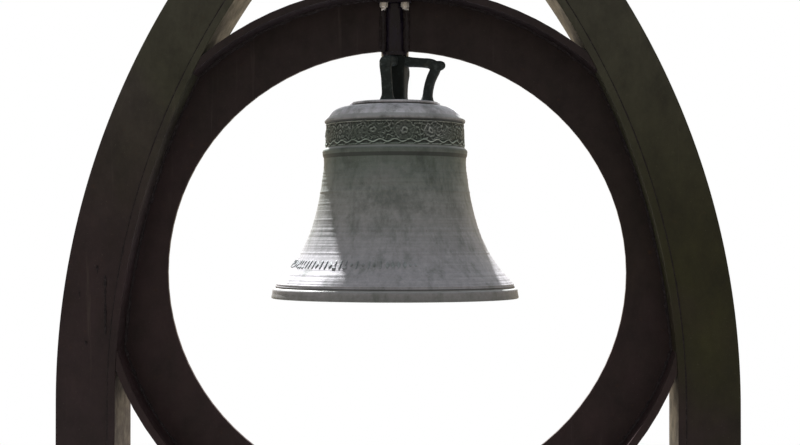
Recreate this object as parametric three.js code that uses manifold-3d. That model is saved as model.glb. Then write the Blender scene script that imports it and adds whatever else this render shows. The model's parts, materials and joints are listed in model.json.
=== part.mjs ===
// A bronze church bell that hangs inside a welded steel arch.
//
// The stand is a pointed arch of two box-section legs. A ring of plate is welded between the legs:
// a deep rim band with a flat web in its middle, and a round opening in the web. The bell hangs in
// the opening from a short tube in a slot of the web. One long rod runs through the tube and the
// bell's crown and carries the clapper inside.
//
// Millimetres, +Z up, front towards -Y. The origin is on the ground, midway between the feet.

import * as THREE from "three";
import { mergeVertices } from "three/addons/utils/BufferGeometryUtils.js";
import Module from "manifold-3d";

// ---- Driving dimensions -------------------------------------------------------------------------

const GAP = 0.3; // between pieces that touch on the real object

// Legs and arch: two arcs struck from opposite sides meet in a point over the bell. The centre of
// each arc lies past the middle, by centreX.
const OUTER_ARC = { radius: 1894, centreX: 1063.3 };
const INNER_ARC = { radius: 1790, centreX: 1107 };
const SPRING_Z = 1184; // the arcs start here, and the legs below are straight
const FRAME_DEPTH = 180; // front to back, over the bands
const BAND = 18; // thickness of the inner and outer bands and of the ring's rim
const FACE = 10; // thickness of the front and back plates
const FACE_RECESS = 3; // the inner band stands this far proud of the front and back plates
const ARC_STEP = THREE.MathUtils.degToRad(2); // the arcs are made of straight steps
// The bands of the arch are welded from pieces. Each piece ends at this angle up its arc, and the
// last one ends at the middle of the arch.
const ARC_CUTS = {
  inner_band: { lower_: 11 * ARC_STEP, middle_: 22 * ARC_STEP, upper_: undefined },
  outer_band: { lower_: 14 * ARC_STEP, upper_: undefined },
};

// Ring between the legs, a little wider than it is tall.
const RING_Z = 1500;
const RING_HALF_WIDTH = 724; // outside of the rim
const RING_HALF_HEIGHT = 698;
const OPENING_HALF_WIDTH = 568;
const OPENING_HALF_HEIGHT = 549;
const WEB = 12;
const RING_STEPS = 44;

// Feet
const BASE = { width: 300, depth: 360, thickness: 20 };
const ANCHOR = { radius: 11, x: 115, y: 145 };
const GUSSET = { reach: 80, height: 160, thickness: 12, chamfer: 14 };

// Bell, measured from the plane of its lip
const LIP_Z = 1437;
const BELL_HEIGHT = 483;
const CROWN_UNDERSIDE = 458;
const CROWN_BORE = 15;
const BELL_STEPS = 48;

// Crown: a square post and three loops, turned a little from the front
const CROWN_TURN = THREE.MathUtils.degToRad(-10);
const POST = { halfWidth: 29, corner: 9, height: 116 };
const LOOP_AZIMUTHS = { right: 0, front: -90, rear: 90 };

// Hanger between the ring and the bell
const TUBE = { radius: 24.2, bore: 18 };
const BOTTOM_FLANGE = { radius: 34, thickness: 9 };
const TOP_FLANGE = { halfWidth: 40, thickness: 12, top: 2178.5 };
const CHEEK = { width: 9.5, depth: 20, bottom: 2046, top: 2150 };
const HANGER_BOLT = { radius: 6, offset: 26, headHeight: 8, nutHeight: 11, acrossFlats: 18 };

// Rod, clevis and clapper
const ROD = { radius: 12, top: 2252 };
const ROD_NUT = { acrossFlats: 36, height: 19, lockHeight: 12 };
const ROD_WASHER = { halfWidth: 22, thickness: 8 };
const PIVOT_Z = 1832;
const PIN = { radius: 8, headRadius: 13, headHeight: 7 };
const EAR = { inner: 14, thickness: 11, radius: 22 };
const CLEVIS = { bottom: 1859, top: 1877.8 };
const PAD = { radius: 52, thickness: 6.3 };
const CROWN_WASHER = { radius: 46, thickness: 10 };
const BOSS = { radius: 23, halfWidth: 13, bore: 12 };
const CLAPPER = { neck: 10, shaft: 12, ballRadius: 36, ballHalfHeight: 40, ballZ: LIP_Z + 46 };

// ---- Materials ----------------------------------------------------------------------------------

const finish = (color, roughness, metalness) =>
  new THREE.MeshStandardMaterial({ color, roughness, metalness });
const frameSteel = finish(0x2f2824, 0.6, 0.3);
const ringSteel = finish(0x241c1b, 0.65, 0.3);
const hangerSteel = finish(0x1f1a20, 0.5, 0.4);
const zinc = finish(0xb9b6b0, 0.45, 0.8);
const bronze = finish(0x6d716f, 0.5, 0.6);
const crownBronze = finish(0x2a2f2c, 0.6, 0.5);
const forgedIron = finish(0x2c2a28, 0.6, 0.5);
const gunmetal = finish(0x8a6a3a, 0.4, 0.8);
const leather = finish(0x3a2618, 0.9, 0);

// ---- Solids from geometries ---------------------------------------------------------------------

const wasm = await Module();
wasm.setup();

function solidOf(geometry) {
  const bare = geometry.clone();
  bare.deleteAttribute("normal");
  bare.deleteAttribute("uv");
  const merged = mergeVertices(bare, 1e-3);
  return new wasm.Manifold(
    new wasm.Mesh({
      numProp: 3,
      vertProperties: new Float32Array(merged.attributes.position.array),
      triVerts: new Uint32Array(merged.index.array),
    }),
  );
}

function geometryOf(solid) {
  const mesh = solid.getMesh();
  const geometry = new THREE.BufferGeometry();
  geometry.setAttribute("position", new THREE.BufferAttribute(mesh.vertProperties, mesh.numProp));
  geometry.setIndex(new THREE.BufferAttribute(mesh.triVerts, 1));
  const flat = geometry.toNonIndexed();
  flat.computeVertexNormals();
  return flat;
}

const cut = (geometry, ...tools) =>
  geometryOf(tools.reduce((left, tool) => left.subtract(solidOf(tool)), solidOf(geometry)));
const keep = (geometry, ...tools) =>
  geometryOf(tools.reduce((left, tool) => left.intersect(solidOf(tool)), solidOf(geometry)));
const join = (...geometries) =>
  geometryOf(geometries.map(solidOf).reduce((all, next) => all.add(next)));

// ---- Basic shapes -------------------------------------------------------------------------------

// A shape drawn in X and Z, made into a plate from yLow towards the back.
function plate(shape, yLow, thickness, curveSegments = 12) {
  const options = { depth: thickness, bevelEnabled: false, curveSegments };
  return new THREE.ExtrudeGeometry(shape, options)
    .rotateX(Math.PI / 2)
    .translate(0, yLow + thickness, 0);
}

// A shape drawn in X and Y, made into a slab from zLow upwards.
function slab(shape, zLow, height, curveSegments = 12) {
  const options = { depth: height, bevelEnabled: false, curveSegments };
  return new THREE.ExtrudeGeometry(shape, options).translate(0, 0, zLow);
}

function box(xLow, xHigh, yLow, yHigh, zLow, zHigh) {
  return new THREE.BoxGeometry(xHigh - xLow, yHigh - yLow, zHigh - zLow).translate(
    (xLow + xHigh) / 2,
    (yLow + yHigh) / 2,
    (zLow + zHigh) / 2,
  );
}

// An upright cylinder.
function bar(radius, zLow, zHigh, steps = 24) {
  return new THREE.CylinderGeometry(radius, radius, zHigh - zLow, steps)
    .rotateX(Math.PI / 2)
    .translate(0, 0, (zLow + zHigh) / 2);
}

// A cylinder from front to back, at the clapper's pivot.
function crossBar(radius, yLow, yHigh, steps = 24) {
  return new THREE.CylinderGeometry(radius, radius, yHigh - yLow, steps).translate(
    0,
    (yLow + yHigh) / 2,
    PIVOT_Z,
  );
}

function hexagon(acrossFlats, holeRadius) {
  const shape = new THREE.Shape();
  const corner = acrossFlats / Math.sqrt(3);
  for (let i = 0; i < 6; i += 1) {
    const angle = (i * Math.PI) / 3;
    shape[i ? "lineTo" : "moveTo"](corner * Math.cos(angle), corner * Math.sin(angle));
  }
  if (holeRadius) shape.holes.push(new THREE.Path().absarc(0, 0, holeRadius, 0, 2 * Math.PI));
  return shape;
}

function disc(radius, holeRadius) {
  const shape = new THREE.Shape().absarc(0, 0, radius, 0, 2 * Math.PI);
  shape.holes.push(new THREE.Path().absarc(0, 0, holeRadius, 0, 2 * Math.PI));
  return shape;
}

function square(halfWidth, corner = 0) {
  const shape = new THREE.Shape();
  const inner = halfWidth - corner;
  if (!corner) {
    shape.moveTo(-halfWidth, -halfWidth).lineTo(halfWidth, -halfWidth);
    return shape.lineTo(halfWidth, halfWidth).lineTo(-halfWidth, halfWidth);
  }
  shape.absarc(inner, inner, corner, 0, Math.PI / 2);
  shape.absarc(-inner, inner, corner, Math.PI / 2, Math.PI);
  shape.absarc(-inner, -inner, corner, Math.PI, 1.5 * Math.PI);
  return shape.absarc(inner, -inner, corner, 1.5 * Math.PI, 2 * Math.PI);
}

// A profile of radius and height, its outside running upwards, turned round the Z axis.
function turned(points, steps) {
  return new THREE.LatheGeometry(points, steps).rotateX(Math.PI / 2);
}

// ---- The assembly -------------------------------------------------------------------------------

const bellStand = new THREE.Group();

function add(name, geometry, material, parent = bellStand) {
  const mesh = new THREE.Mesh(geometry, material);
  mesh.name = name;
  parent.add(mesh);
  return mesh;
}

// ---- Arch and legs ------------------------------------------------------------------------------

// An arc of the arch, moved outwards by a distance square to it.
const offsetArc = ({ radius, centreX }, distance) => ({ radius: radius + distance, centreX });

// How far up an arc the middle of the arch is, as an angle about the arc's centre.
const topAngle = ({ radius, centreX }) => Math.acos((centreX + GAP / 2) / radius);

// Points up the left half of an arc. The steps are at the same angles on every arc, so that the
// flats of neighbouring pieces run side by side.
function arcPoints({ radius, centreX }, low, high = topAngle({ radius, centreX })) {
  const angles = [low];
  for (let angle = ARC_STEP; angle < high - 1e-6; angle += ARC_STEP) {
    if (angle > low + 1e-6) angles.push(angle);
  }
  angles.push(high);
  return angles.map(
    (angle) =>
      new THREE.Vector2(centreX - radius * Math.cos(angle), SPRING_Z + radius * Math.sin(angle)),
  );
}

// A piece of the left half of the arch between two arcs, from one angle to another.
function archPiece(outer, inner, low, high) {
  return new THREE.Shape([
    ...arcPoints(outer, low, high),
    ...arcPoints(inner, low, high).reverse(),
  ]);
}

// Everything inside the arch's inner bands, as a block for trimming the ring.
function archInterior() {
  const left = arcPoints(offsetArc(INNER_ARC, -GAP), 0);
  const right = left.map(({ x, y }) => new THREE.Vector2(-x, y)).reverse();
  const edge = left[0].x;
  const shape = new THREE.Shape([
    new THREE.Vector2(edge, 0),
    ...left,
    ...right,
    new THREE.Vector2(-edge, 0),
  ]);
  return plate(shape, -FRAME_DEPTH, 2 * FRAME_DEPTH);
}

function addArch() {
  const faceY = FRAME_DEPTH / 2 - FACE_RECESS;
  const innerOutside = offsetArc(INNER_ARC, BAND);
  const faceInside = offsetArc(INNER_ARC, BAND + GAP);
  const outerInside = offsetArc(OUTER_ARC, -BAND);
  const bandY = FRAME_DEPTH / 2;
  const outerBandY = faceY - FACE - GAP;
  const edge = ({ radius, centreX }) => centreX - radius;

  for (const side of ["left", "right"]) {
    // The right half is the left half turned half way round, so its front was the left one's back.
    const half = new THREE.Group();
    half.rotation.z = side === "left" ? 0 : Math.PI;
    bellStand.add(half);
    const [facing, away] = side === "left" ? ["front", "back"] : ["back", "front"];

    const strips = [
      [`${facing}_plate`, OUTER_ARC, faceInside, -faceY, FACE - faceY],
      [`${away}_plate`, OUTER_ARC, faceInside, faceY - FACE, faceY],
      ["inner_band", innerOutside, INNER_ARC, -bandY, bandY],
      ["outer_band", OUTER_ARC, outerInside, -outerBandY, outerBandY],
    ];
    for (const [strip, outer, inner, front, back] of strips) {
      const zLow = BASE.thickness + GAP;
      const leg = box(edge(outer), edge(inner), front, back, zLow, SPRING_Z - GAP);
      add(`leg_${strip}_${side}`, leg, frameSteel, half);
      let low = 0;
      for (const [part, high] of Object.entries(ARC_CUTS[strip] ?? { "": undefined })) {
        const shape = archPiece(outer, inner, low, high);
        add(`arch_${strip}_${part}${side}`, plate(shape, front, back - front), frameSteel, half);
        low = high + GAP / outer.radius;
      }
    }
  }
}

function addFeet() {
  const legX = (OUTER_ARC.radius - OUTER_ARC.centreX + INNER_ARC.radius - INNER_ARC.centreX) / 2;
  const gusset = new THREE.Shape();
  const foot = FRAME_DEPTH / 2;
  gusset.moveTo(foot + GAP, BASE.thickness + GAP);
  gusset.lineTo(foot + GUSSET.reach, BASE.thickness + GAP);
  gusset.lineTo(foot + GUSSET.reach, BASE.thickness + GUSSET.chamfer);
  gusset.lineTo(foot + GUSSET.chamfer, BASE.thickness + GUSSET.height);
  gusset.lineTo(foot + GAP, BASE.thickness + GUSSET.height);

  for (const [side, x] of [["left", -legX], ["right", legX]]) {
    const outline = new THREE.Shape();
    outline.moveTo(-BASE.width / 2, -BASE.depth / 2).lineTo(BASE.width / 2, -BASE.depth / 2);
    outline.lineTo(BASE.width / 2, BASE.depth / 2).lineTo(-BASE.width / 2, BASE.depth / 2);
    for (const [sx, sy] of [[-1, -1], [1, -1], [1, 1], [-1, 1]]) {
      const hole = new THREE.Path();
      hole.absarc(sx * ANCHOR.x, sy * ANCHOR.y, ANCHOR.radius, 0, 2 * Math.PI);
      outline.holes.push(hole);
    }
    const base = add(`base_plate_${side}`, slab(outline, 0, BASE.thickness, 8), frameSteel);
    base.position.x = x;

    for (const [end, turn] of [["back", 1], ["front", -1]]) {
      const fin = add(
        `base_gusset_${side}_${end}`,
        plate(gusset, -GUSSET.thickness / 2, GUSSET.thickness),
        frameSteel,
      );
      fin.rotation.z = (turn * Math.PI) / 2;
      fin.position.x = x;
    }
  }
}

// ---- Ring ---------------------------------------------------------------------------------------

function ringShape(halfWidth, halfHeight, holeHalfWidth, holeHalfHeight) {
  const shape = new THREE.Shape().absellipse(0, RING_Z, halfWidth, halfHeight, 0, 2 * Math.PI);
  const hole = new THREE.Path().absellipse(0, RING_Z, holeHalfWidth, holeHalfHeight, 0, 2 * Math.PI);
  shape.holes.push(hole);
  return shape;
}

function hangerHoles(zLow, zHigh) {
  const { offset, radius } = HANGER_BOLT;
  const holes = [bar(ROD.radius + 2, zLow, zHigh)];
  for (const x of [-offset, offset])
    for (const y of [-offset, offset])
      holes.push(bar(radius + 0.5, zLow, zHigh, 16).translate(x, y, 0));
  return holes;
}

function addRing() {
  const rimShape = ringShape(
    RING_HALF_WIDTH,
    RING_HALF_HEIGHT,
    RING_HALF_WIDTH - BAND,
    RING_HALF_HEIGHT - BAND,
  );
  const rim = plate(rimShape, -FRAME_DEPTH / 2, FRAME_DEPTH, RING_STEPS);
  const reach = 1000;
  const upper = box(-reach, reach, -reach, reach, RING_Z, RING_Z + reach);
  const lower = box(-reach, reach, -reach, reach, RING_Z - reach, RING_Z);
  const rimTop = keep(rim, archInterior(), upper);
  const top = RING_Z + RING_HALF_HEIGHT;
  add("ring_rim_top", cut(rimTop, ...hangerHoles(top - 50, top + 50)), ringSteel);
  add("ring_rim_bottom", keep(rim, archInterior(), lower), ringSteel);

  const webShape = ringShape(
    RING_HALF_WIDTH - BAND - GAP,
    RING_HALF_HEIGHT - BAND - GAP,
    OPENING_HALF_WIDTH,
    OPENING_HALF_HEIGHT,
  );
  const web = keep(plate(webShape, -WEB / 2, WEB, RING_STEPS), archInterior());
  const slotX = TUBE.radius + CHEEK.width + 2 * GAP;
  const slot = box(-slotX, slotX, -WEB, WEB, RING_Z, top);
  const notchX = TOP_FLANGE.halfWidth + GAP;
  const notchZ = TOP_FLANGE.top - TOP_FLANGE.thickness - GAP;
  const notch = box(-notchX, notchX, -WEB, WEB, notchZ, top);
  add("ring_web", cut(web, slot, notch), ringSteel);
}

// ---- Hanger -------------------------------------------------------------------------------------

function addHanger() {
  const postTop = LIP_Z + BELL_HEIGHT + POST.height;
  const flangeBottom = postTop + GAP;
  const flangeTop = flangeBottom + BOTTOM_FLANGE.thickness;
  add(
    "hanger_bottom_flange",
    slab(disc(BOTTOM_FLANGE.radius, ROD.radius + 2), flangeBottom, BOTTOM_FLANGE.thickness, 16),
    hangerSteel,
  );
  const topFlangeLow = TOP_FLANGE.top - TOP_FLANGE.thickness;
  add(
    "hanger_tube",
    slab(disc(TUBE.radius, TUBE.bore), flangeTop + GAP, topFlangeLow - flangeTop - 2 * GAP, 16),
    hangerSteel,
  );
  const topFlange = slab(square(TOP_FLANGE.halfWidth), topFlangeLow, TOP_FLANGE.thickness);
  const holes = hangerHoles(topFlangeLow - 20, TOP_FLANGE.top + 20);
  add("hanger_top_flange", cut(topFlange, ...holes), hangerSteel);

  const cheekX = TUBE.radius + GAP + CHEEK.width / 2;
  const [halfWidth, halfDepth] = [CHEEK.width / 2, CHEEK.depth / 2];
  for (const [side, x] of [["left", -cheekX], ["right", cheekX]]) {
    const cheek = box(-halfWidth, halfWidth, -halfDepth, halfDepth, CHEEK.bottom, CHEEK.top);
    add(`hanger_cheek_${side}`, cheek, hangerSteel).position.x = x;
  }
}

function addHangerBolts() {
  const { radius, offset, headHeight, nutHeight, acrossFlats } = HANGER_BOLT;
  const headLow = RING_Z + RING_HALF_HEIGHT + GAP;
  const nutTop = TOP_FLANGE.top - TOP_FLANGE.thickness - GAP;
  const corners = { front_left: [-1, -1], front_right: [1, -1], rear_left: [-1, 1], rear_right: [1, 1] };
  for (const [corner, [sx, sy]] of Object.entries(corners)) {
    const bolt = join(
      bar(radius, nutTop - nutHeight - 5, headLow + 1, 16),
      slab(hexagon(acrossFlats), headLow, headHeight),
    );
    const nut = slab(hexagon(acrossFlats, radius + GAP), nutTop - nutHeight, nutHeight, 8);
    const at = [sx * offset, sy * offset, 0];
    add(`hanger_bolt_${corner}`, bolt, zinc).position.set(...at);
    add(`hanger_nut_${corner}`, nut, zinc).position.set(...at);
  }
}

// ---- Bell ---------------------------------------------------------------------------------------

// The outline of the bell's wall, from the crown's hole outwards, down to the lip and back inside.
function bellProfile() {
  const path = new THREE.Path();
  path.moveTo(CROWN_BORE, BELL_HEIGHT);
  path.lineTo(109, BELL_HEIGHT); // raised disc that carries the crown
  path.lineTo(112, 478);
  path.lineTo(108, 474);
  path.bezierCurveTo(136, 474, 158, 464, 167, 446); // shoulder
  path.lineTo(174, 439); // upper moulding
  path.lineTo(174, 434);
  path.lineTo(170.5, 431);
  path.lineTo(172, 371); // frieze
  path.lineTo(179.5, 363); // lower moulding
  path.lineTo(179, 352);
  path.lineTo(176, 345);
  path.lineTo(176, 328);
  path.bezierCurveTo(200, 90, 278, 67, 296, 28); // waist, flaring to the sound bow
  path.lineTo(301, 22); // lip
  path.lineTo(306, 2);
  path.lineTo(303, 0);
  path.lineTo(248, 20); // inside edge of the sound bow
  path.bezierCurveTo(228, 74, 182, 110, 158, 328); // inside of the waist
  path.lineTo(154, 410);
  path.bezierCurveTo(152, 444, 136, CROWN_UNDERSIDE, 100, CROWN_UNDERSIDE);
  path.lineTo(CROWN_BORE, CROWN_UNDERSIDE);
  path.lineTo(CROWN_BORE, BELL_HEIGHT);
  return path;
}

function addBell() {
  const bell = turned(bellProfile().getPoints(9).reverse(), BELL_STEPS);
  add("bell_body", bell, bronze).position.z = LIP_Z;
}

// One loop of the crown, drawn outwards along +X from the post and down to the bell's top, with a
// cast knob on its bend.
function loopGeometry() {
  const route = new THREE.CurvePath();
  const point = (r, z) => new THREE.Vector3(r, 0, z);
  const corner = point(80, 97.5);
  const knee = point(100, 74);
  route.add(
    new THREE.CubicBezierCurve3(
      point(POST.halfWidth + GAP, 102.5),
      point(45, 102.5),
      point(65, 99),
      corner,
    ),
  );
  route.add(new THREE.CubicBezierCurve3(corner, point(100, 95.5), point(107, 88), knee));
  route.add(new THREE.CubicBezierCurve3(knee, point(90, 56), point(82, 35), point(82, GAP)));
  const section = new THREE.Shape();
  const halfThick = 11.5;
  const halfWide = 13;
  const chamfer = 5;
  section.moveTo(halfThick, halfWide - chamfer).lineTo(halfThick - chamfer, halfWide);
  section.lineTo(chamfer - halfThick, halfWide).lineTo(-halfThick, halfWide - chamfer);
  section.lineTo(-halfThick, chamfer - halfWide).lineTo(chamfer - halfThick, -halfWide);
  section.lineTo(halfThick - chamfer, -halfWide).lineTo(halfThick, chamfer - halfWide);
  const bend = new THREE.ExtrudeGeometry(section, { steps: 22, extrudePath: route });

  const knob = new THREE.Path();
  knob.moveTo(0, -17);
  knob.lineTo(13, -9);
  knob.lineTo(13, 3);
  knob.lineTo(8, 12);
  knob.lineTo(0, 17);
  const tip = turned(knob.getPoints(1), 12).rotateY(THREE.MathUtils.degToRad(84));
  return join(bend, tip.translate(112, 0, 90));
}

function addCrown() {
  const crown = new THREE.Group();
  crown.position.z = LIP_Z + BELL_HEIGHT;
  crown.rotation.z = CROWN_TURN;
  bellStand.add(crown);

  const shape = square(POST.halfWidth, POST.corner);
  shape.holes.push(new THREE.Path().absarc(0, 0, CROWN_BORE, 0, 2 * Math.PI));
  add("crown_post", slab(shape, GAP, POST.height - GAP, 4), crownBronze, crown);
  for (const [place, degrees] of Object.entries(LOOP_AZIMUTHS)) {
    const loop = add(`canon_${place}`, loopGeometry(), crownBronze, crown);
    loop.rotation.z = THREE.MathUtils.degToRad(degrees);
  }
}

// ---- Rod and clevis -----------------------------------------------------------------------------

function addRod() {
  const crownZ = LIP_Z + CROWN_UNDERSIDE;
  const padLow = crownZ - GAP - PAD.thickness;
  const washerLow = padLow - GAP - CROWN_WASHER.thickness;
  add("crown_pad", slab(disc(PAD.radius, ROD.radius + 1), padLow, PAD.thickness, 16), leather);
  add(
    "crown_washer",
    slab(disc(CROWN_WASHER.radius, ROD.radius + 1), washerLow, CROWN_WASHER.thickness, 16),
    forgedIron,
  );

  const outer = EAR.inner + EAR.thickness;
  const ears = [-1, 1].map((side) => {
    const [low, high] = side < 0 ? [-outer, -EAR.inner] : [EAR.inner, outer];
    return join(
      crossBar(EAR.radius, low, high),
      box(-EAR.radius, EAR.radius, low, high, PIVOT_Z, CLEVIS.bottom + 1),
    );
  });
  const block = box(-EAR.radius, EAR.radius, -outer, outer, CLEVIS.bottom, CLEVIS.top);
  const rod = bar(ROD.radius, CLEVIS.bottom + 5, ROD.top);
  const clevis = join(rod, block, ...ears);
  add(
    "crown_staple",
    cut(clevis, crossBar(PIN.radius + GAP, -outer - 5, outer + 5)),
    forgedIron,
  );

  const washerZ = RING_Z + RING_HALF_HEIGHT + GAP;
  const nutZ = washerZ + ROD_WASHER.thickness + GAP;
  const lockZ = nutZ + ROD_NUT.height + GAP;
  const plateShape = disc(ROD_WASHER.halfWidth, ROD.radius + GAP);
  const nutShape = hexagon(ROD_NUT.acrossFlats, ROD.radius + GAP);
  add("rod_washer", slab(plateShape, washerZ, ROD_WASHER.thickness), zinc);
  add("rod_nut", slab(nutShape, nutZ, ROD_NUT.height), zinc);
  add("rod_lock_nut", slab(nutShape, lockZ, ROD_NUT.lockHeight), zinc);
}

function addPin() {
  const outer = EAR.inner + EAR.thickness;
  const head = crossBar(PIN.headRadius, -outer - GAP - PIN.headHeight, -outer - GAP, 16);
  const shank = crossBar(PIN.radius, -outer - 1, outer + 14);
  add("clapper_pin", join(head, shank), zinc);
  const nutShape = hexagon(24, PIN.radius + GAP);
  const nut = add("clapper_pin_nut", plate(nutShape, outer + GAP, 10, 8), zinc);
  nut.position.z = PIVOT_Z;
}

// ---- Clapper ------------------------------------------------------------------------------------

function addClapper() {
  const { neck, shaft, ballRadius, ballHalfHeight, ballZ } = CLAPPER;
  const profile = new THREE.Path();
  profile.moveTo(0, ballZ - ballHalfHeight);
  profile.bezierCurveTo(
    1.33 * ballRadius,
    ballZ - ballHalfHeight,
    1.33 * ballRadius,
    ballZ + 0.9 * ballHalfHeight,
    shaft + 2,
    ballZ + ballHalfHeight,
  );
  profile.bezierCurveTo(shaft - 1, ballZ + 60, shaft - 3, ballZ + 90, neck, ballZ + 150);
  profile.lineTo(neck, PIVOT_Z - BOSS.radius - 12);
  profile.lineTo(BOSS.halfWidth - 1, PIVOT_Z - BOSS.radius + 6);
  profile.lineTo(0, PIVOT_Z - BOSS.radius + 6);
  const forging = join(
    turned(profile.getPoints(10), 28),
    crossBar(BOSS.radius, -BOSS.halfWidth, BOSS.halfWidth, 28),
  );
  const bore = crossBar(BOSS.bore + GAP, -BOSS.halfWidth - 5, BOSS.halfWidth + 5);
  add("clapper", cut(forging, bore), forgedIron);

  const bushShape = disc(BOSS.bore, PIN.radius + GAP);
  const bush = add(
    "clapper_bush",
    plate(bushShape, -BOSS.halfWidth, 2 * BOSS.halfWidth),
    gunmetal,
  );
  bush.position.z = PIVOT_Z;
}

addArch();
addFeet();
addRing();
addHanger();
addHangerBolts();
addBell();
addCrown();
addRod();
addPin();
addClapper();

export default bellStand;
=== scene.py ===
import json
import math

import bmesh
import bpy
import numpy as np
from mathutils import Matrix, Vector, noise


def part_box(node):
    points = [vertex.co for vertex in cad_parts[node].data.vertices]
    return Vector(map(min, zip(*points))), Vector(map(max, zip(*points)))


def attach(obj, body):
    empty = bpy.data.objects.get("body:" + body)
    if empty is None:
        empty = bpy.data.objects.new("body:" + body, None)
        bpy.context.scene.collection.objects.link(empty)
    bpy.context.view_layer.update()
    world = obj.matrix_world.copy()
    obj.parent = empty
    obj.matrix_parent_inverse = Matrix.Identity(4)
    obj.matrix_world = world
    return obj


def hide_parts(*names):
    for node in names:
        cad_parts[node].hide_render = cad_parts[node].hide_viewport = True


# The looks of a bronze church bell that hangs inside a welded steel arch. Metres, +Z up, front
# towards -Y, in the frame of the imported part. Azimuths are measured from the front, to the right.

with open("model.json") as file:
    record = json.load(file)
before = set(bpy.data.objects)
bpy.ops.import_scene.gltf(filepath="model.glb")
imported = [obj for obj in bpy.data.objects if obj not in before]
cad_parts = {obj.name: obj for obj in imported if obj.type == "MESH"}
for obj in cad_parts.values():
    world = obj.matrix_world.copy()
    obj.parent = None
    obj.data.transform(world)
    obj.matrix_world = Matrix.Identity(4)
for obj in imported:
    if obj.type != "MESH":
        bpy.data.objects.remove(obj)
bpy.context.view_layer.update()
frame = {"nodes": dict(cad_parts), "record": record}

MM = 0.001
STAND = "bell_and_stand"
rng = np.random.default_rng(11)

# ---- Sizes ---------------------------

LIP_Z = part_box("bell_body")[0].z
CROWN_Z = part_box("bell_body")[1].z
POST_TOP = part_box("crown_post")[1].z
SPRING_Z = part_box("leg_front_plate_left")[1].z
FOOT_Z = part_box("leg_front_plate_left")[0].z
INNER_ARC = (1.790, 1.107)  # radius, and how far the centre is past the middle
OUTER_ARC = (1.894, 1.0633)
BAND = 0.018
RIM_HALF_WIDTH = 0.706  # inside of the ring's rim
RIM_HALF_HEIGHT = 0.680
RING_Z = 1.500
WEB_Y = 0.006  # half the web's thickness
FACE_Y = 0.087  # front and back plates
FACE = 0.010
BAND_Y = 0.090
SEAM = 0.0003  # between plates that are welded together
CROWN_TURN = math.radians(-10)

# ---- Mesh helpers --------------------


def piece(name, vertices, faces, smooth=True):
    """A closed mesh in the row frame, with its normals outwards."""
    mesh = bpy.data.meshes.new(name)
    mesh.from_pydata([tuple(v) for v in vertices], [], faces)
    work = bmesh.new()
    work.from_mesh(mesh)
    bmesh.ops.recalc_face_normals(work, faces=work.faces)
    work.to_mesh(mesh)
    work.free()
    mesh.polygons.foreach_set("use_smooth", [smooth] * len(mesh.polygons))
    made = bpy.data.objects.new(name, mesh)
    bpy.context.scene.collection.objects.link(made)
    return made


def ring_faces(rows, columns, loop_rows, start=0):
    """Faces between rows of points, where every row is a closed ring. The ends are filled unless
    the rows close up too."""
    index = start + np.arange(rows * columns).reshape(rows, columns)
    low = index if loop_rows else index[:-1]
    high = np.roll(index, -1, axis=0) if loop_rows else index[1:]
    quads = np.stack([low, np.roll(low, -1, 1), np.roll(high, -1, 1), high], axis=-1)
    faces = quads.reshape(-1, 4).tolist()
    if not loop_rows:
        faces += [index[0].tolist(), index[-1].tolist()]
    return faces


def grid(name, points, loop_rows=False):
    """A piece from an array of points, rows by columns, whose rows are closed rings."""
    points = np.asarray(points)
    rows, columns = points.shape[:2]
    return piece(name, points.reshape(-1, 3), ring_faces(rows, columns, loop_rows))


def round_axis(profile, azimuths):
    """Points of a profile of radius and height turned round the bell's axis."""
    radius, height = profile[:, 0, None], profile[:, 1, None]
    x = radius * np.sin(azimuths)
    y = -radius * np.cos(azimuths)
    return np.stack([x, y, height + 0 * x], axis=-1)


def applied(thing):
    """Replaces an object's mesh with what its modifiers make of it."""
    shown = thing.evaluated_get(bpy.context.evaluated_depsgraph_get())
    mesh = bpy.data.meshes.new_from_object(shown)
    thing.modifiers.clear()
    thing.data = mesh
    mesh.polygons.foreach_set("use_smooth", [True] * len(mesh.polygons))


def finish_piece(thing, material, body=STAND, replaced=()):
    thing.data.materials.clear()
    thing.data.materials.append(material)
    if replaced:
        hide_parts(*replaced)
    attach(thing, body)


# ---- Curves --------------------------


def full_turn(count):
    """Angles evenly round a circle, without the last one that closes it."""
    return np.linspace(0, 2 * math.pi, count, endpoint=False)


def line(a, b, count=40):
    return np.linspace(a, b, count)


def bezier(a, b, c, d, count=160):
    t = np.linspace(0, 1, count)[:, None]
    a, b, c, d = (np.asarray(p, float) for p in (a, b, c, d))
    u = 1 - t
    return u**3 * a + 3 * u * u * t * b + 3 * u * t * t * c + t**3 * d


def resample(points, step):
    """The same line with points about one step apart."""
    points = np.asarray(points, float)
    length = np.r_[0, np.cumsum(np.linalg.norm(np.diff(points, axis=0), axis=1))]
    keep = np.r_[True, np.diff(length) > 1e-9]
    points, length = points[keep], length[keep]
    along = np.linspace(0, length[-1], max(2, round(length[-1] / step)) + 1)
    return np.stack([np.interp(along, length, column) for column in points.T], axis=-1)


def smoothed(values, width):
    kernel = np.hanning(width + 2)[1:-1]
    padded = np.pad(values, width, mode="edge")
    return np.convolve(padded, kernel / kernel.sum(), mode="same")[width:-width]


# ---- Shader helper -------------------


def add_node(tree, kind, inputs=(), **settings):
    """A shader node with its settings. Each input is a value, or a socket to link from."""
    made = tree.nodes.new(kind)
    for name, value in settings.items():
        setattr(made, name, value)
    for socket, value in dict(inputs).items():
        if isinstance(value, bpy.types.NodeSocket):
            tree.links.new(value, made.inputs[socket])
        else:
            made.inputs[socket].default_value = value
    return made


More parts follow.
